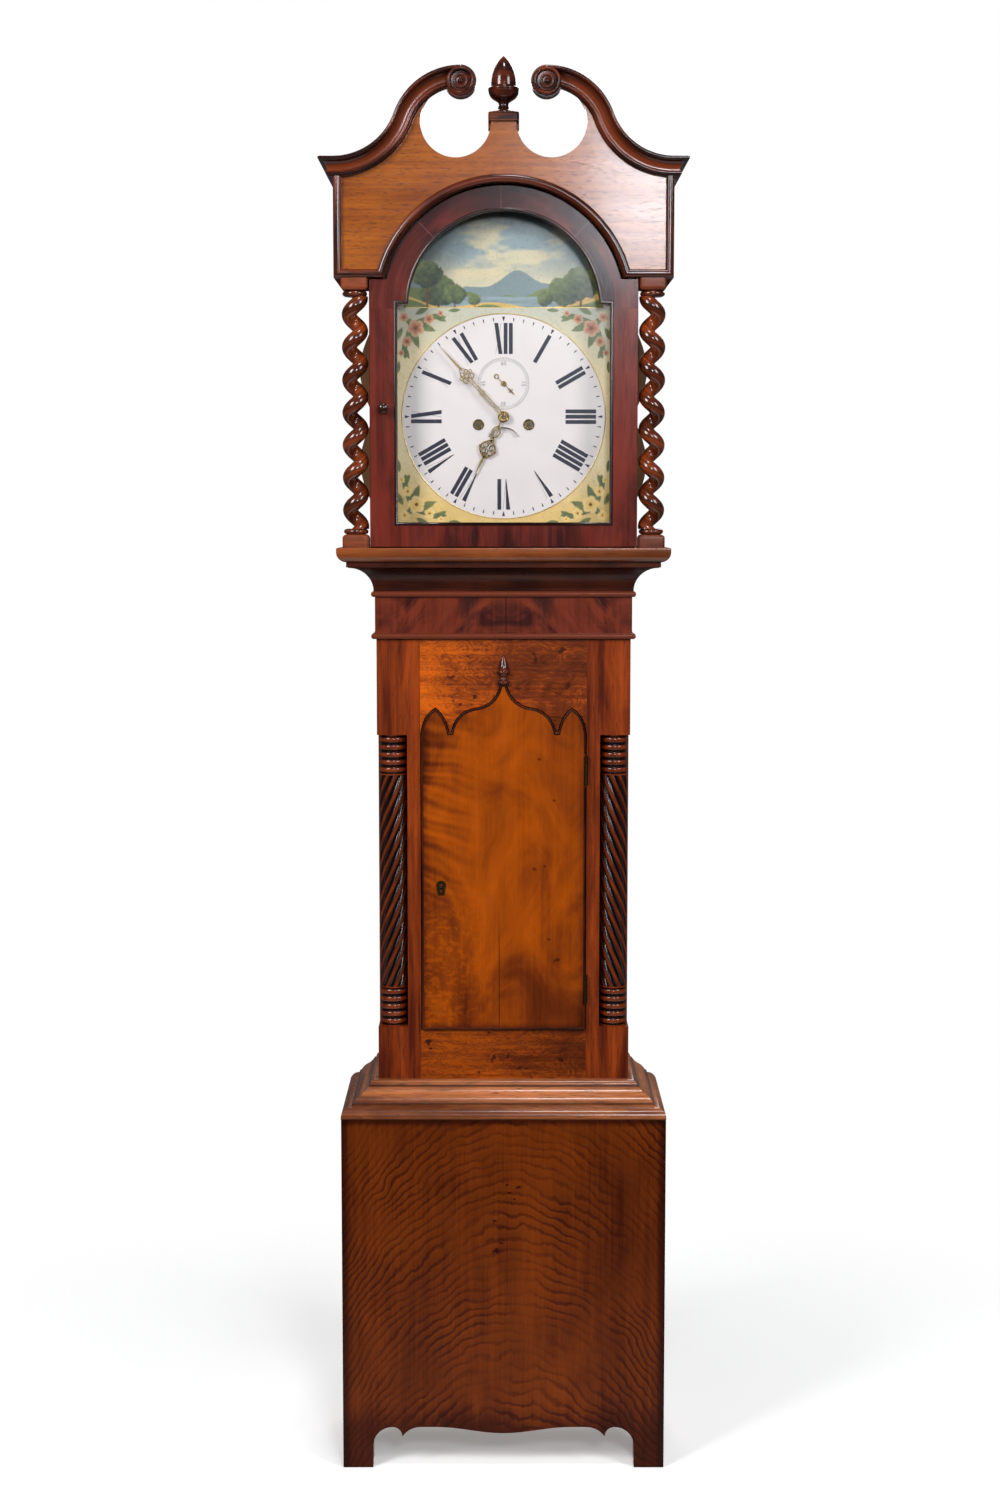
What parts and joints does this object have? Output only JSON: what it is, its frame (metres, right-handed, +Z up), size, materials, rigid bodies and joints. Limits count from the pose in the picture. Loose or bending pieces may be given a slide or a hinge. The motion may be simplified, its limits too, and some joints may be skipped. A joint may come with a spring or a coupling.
{
  "type": "longcase clock",
  "caption": "Tall wooden clock case with arched painted dial, swan-neck hood on twist columns, shaped trunk door, bracket feet, weights and pendulum.",
  "frame": {"origin": "on the floor, under the middle of the clock's box", "axes": "+X to the clock's left as seen from behind (viewer's right), +Y towards the wall, +Z up"},
  "size_m": [0.575, 0.27, 2.267],
  "materials": {
    "oak": "waxed, medium gloss",
    "mahogany": "polished",
    "dark_wood": "polished, dark stain",
    "pine": "unfinished",
    "brass": "satin",
    "steel": "satin",
    "lead": "dull, cast",
    "glass": "clear",
    "dial_paint": null,
    "gut": "twisted gut"
  },
  "bodies": {
    "case": {"backboard": "pine", "base_front_panel": "oak", "base_sides": "oak", "base_inner_frame": "pine", "plinth_moulding": "oak", "trunk_sides": "oak", "corner_posts": "mahogany", "trunk_top_rail": "oak", "trunk_bottom_rail": "oak", "trunk_columns": "dark_wood", "door_head_finial": "dark_wood", "frieze_panel": "mahogany", "throat_moulding": "dark_wood", "seat_board": "pine", "case_hinge_leaves": "brass", "dial_plate": "dial_paint", "movement_frame": "brass", "bell": "brass", "gut_line_left": "gut", "gut_line_right": "gut"},
    "trunk_door": {"trunk_door": "oak", "door_hinge_leaves": "brass", "door_lock": "steel"},
    "lock_bolt": {"lock_bolt": "brass"},
    "hood": {"hood_base_frame": "oak", "hood_sides": "oak", "hood_top_box": "oak", "dial_mask": "dark_wood", "tympanum": "oak", "tympanum_bead": "dark_wood", "swan_neck_left": "mahogany", "swan_neck_right": "mahogany", "rosettes": "dark_wood", "hood_finial": "mahogany", "hood_columns": "mahogany", "column_blocks": "mahogany"},
    "hood_door": {"hood_door_frame": "mahogany", "hood_door_glass": "glass", "hood_door_knob": "dark_wood", "hood_door_pivots": "brass"},
    "going_barrel": {"going_barrel": "brass"},
    "centre_arbor": {"centre_wheel": "brass", "minute_hand": "brass"},
    "third_arbor": {"third_wheel": "brass"},
    "escape_arbor": {"escape_wheel": "brass", "seconds_hand": "brass"},
    "anchor": {"anchor": "steel"},
    "minute_wheel": {"minute_wheel": "brass"},
    "hour_work": {"hour_wheel": "brass", "hour_hand": "brass"},
    "date_disc": {"date_disc": "dial_paint"},
    "pendulum": {"pendulum": "steel"},
    "weight_left": {"weight_left": "lead"},
    "weight_right": {"weight_right": "lead"},
    "pulley_left": {"pulley_left": "brass"},
    "pulley_right": {"pulley_right": "brass"},
    "strike_barrel": {"strike_barrel": "brass"},
    "pin_wheel": {"pin_wheel": "brass"},
    "gathering_wheel": {"gathering_wheel": "brass"},
    "strike_hammer": {"strike_hammer": "steel"}
  },
  "joints": [
    {"name": "hood_slide", "type": "slide", "parent": "case", "child": "hood", "axis": [0, -1, 0], "range_m": [0, 0.3]},
    {"name": "hood_door_hinge", "type": "hinge", "parent": "hood", "child": "hood_door", "pos_m": [0.209, -0.1025, 1.716], "axis": [0, 0, 1], "range_deg": [0, 88]},
    {"name": "trunk_door_hinge", "type": "hinge", "parent": "case", "child": "trunk_door", "pos_m": [0.13375, -0.06, 0.96], "axis": [0, 0, 1], "range_deg": [0, 165]},
    {"name": "lock_bolt_slide", "type": "slide", "parent": "trunk_door", "child": "lock_bolt", "axis": [-1, 0, 0], "range_m": [0, 0.008]},
    {"name": "pendulum_swing", "type": "hinge", "parent": "case", "child": "pendulum", "pos_m": [0, 0.049, 1.81998], "axis": [0, 1, 0], "range_deg": [-2.5, 2.5]},
    {"name": "anchor_rock", "type": "hinge", "parent": "case", "child": "anchor", "pos_m": [0, 0.025, 1.79328], "axis": [0, 1, 0], "range_deg": [-3.4, 3.4]},
    {"name": "minute_arbor", "type": "hinge", "parent": "case", "child": "centre_arbor", "pos_m": [0, -0.005, 1.713], "axis": [0, 1, 0], "continuous": true},
    {"name": "going_arbor", "type": "hinge", "parent": "case", "child": "going_barrel", "pos_m": [0.04, -0.005, 1.7005], "axis": [0, 1, 0], "continuous": true},
    {"name": "third_arbor", "type": "hinge", "parent": "case", "child": "third_arbor", "pos_m": [0.00994, -0.005, 1.74014], "axis": [0, 1, 0], "continuous": true},
    {"name": "escape_arbor", "type": "hinge", "parent": "case", "child": "escape_arbor", "pos_m": [0, -0.005, 1.765], "axis": [0, 1, 0], "continuous": true},
    {"name": "minute_wheel_spin", "type": "hinge", "parent": "case", "child": "minute_wheel", "pos_m": [0, -0.033, 1.686], "axis": [0, 1, 0], "continuous": true},
    {"name": "hour_pipe", "type": "hinge", "parent": "case", "child": "hour_work", "pos_m": [0, -0.039, 1.713], "axis": [0, 1, 0], "continuous": true},
    {"name": "date_spin", "type": "hinge", "parent": "case", "child": "date_disc", "pos_m": [0, -0.055, 1.668], "axis": [0, 1, 0], "continuous": true},
    {"name": "pin_arbor", "type": "hinge", "parent": "case", "child": "pin_wheel", "pos_m": [-0.04385, -0.005, 1.7371], "axis": [0, 1, 0], "continuous": true},
    {"name": "strike_arbor", "type": "hinge", "parent": "case", "child": "strike_barrel", "pos_m": [-0.04, -0.005, 1.7005], "axis": [0, 1, 0], "continuous": true},
    {"name": "gathering_arbor", "type": "hinge", "parent": "case", "child": "gathering_wheel", "pos_m": [-0.03974, -0.005, 1.76036], "axis": [0, 1, 0], "continuous": true},
    {"name": "hammer_lift", "type": "hinge", "parent": "case", "child": "strike_hammer", "pos_m": [-0.057, -0.005, 1.79], "axis": [0, -1, 0], "range_deg": [0, 6]},
    {"name": "weight_left_fall", "type": "slide", "parent": "case", "child": "weight_left", "axis": [0, 0, 1], "range_m": [0, 1.12], "deforming": ["gut_line_left"]},
    {"name": "weight_right_fall", "type": "slide", "parent": "case", "child": "weight_right", "axis": [0, 0, 1], "range_m": [0, 1.12], "deforming": ["gut_line_right"]},
    {"name": "pulley_left_spin", "type": "hinge", "parent": "weight_left", "child": "pulley_left", "pos_m": [-0.084, 0.009, 0.446], "axis": [0, 1, 0], "continuous": true},
    {"name": "pulley_right_spin", "type": "hinge", "parent": "weight_right", "child": "pulley_right", "pos_m": [0.084, 0.009, 0.446], "axis": [0, 1, 0], "continuous": true}
  ],
  "couplings": [
    {"joint": "anchor_rock", "follows": "pendulum_swing", "ratio": 1.2871},
    {"joint": "going_arbor", "follows": "minute_arbor", "ratio": -0.083333},
    {"joint": "third_arbor", "follows": "minute_arbor", "ratio": -7.5},
    {"joint": "escape_arbor", "follows": "minute_arbor", "ratio": 60},
    {"joint": "minute_wheel_spin", "follows": "minute_arbor", "ratio": -1},
    {"joint": "hour_pipe", "follows": "minute_arbor", "ratio": 0.083333},
    {"joint": "date_spin", "follows": "minute_arbor", "ratio": 0.0013441},
    {"joint": "strike_arbor", "follows": "pin_arbor", "ratio": -0.095238},
    {"joint": "gathering_arbor", "follows": "pin_arbor", "ratio": -8},
    {"joint": "pulley_left_spin", "follows": "weight_left_fall", "rad_per_m": -45.455},
    {"joint": "pulley_right_spin", "follows": "weight_right_fall", "rad_per_m": 45.455}
  ]
}
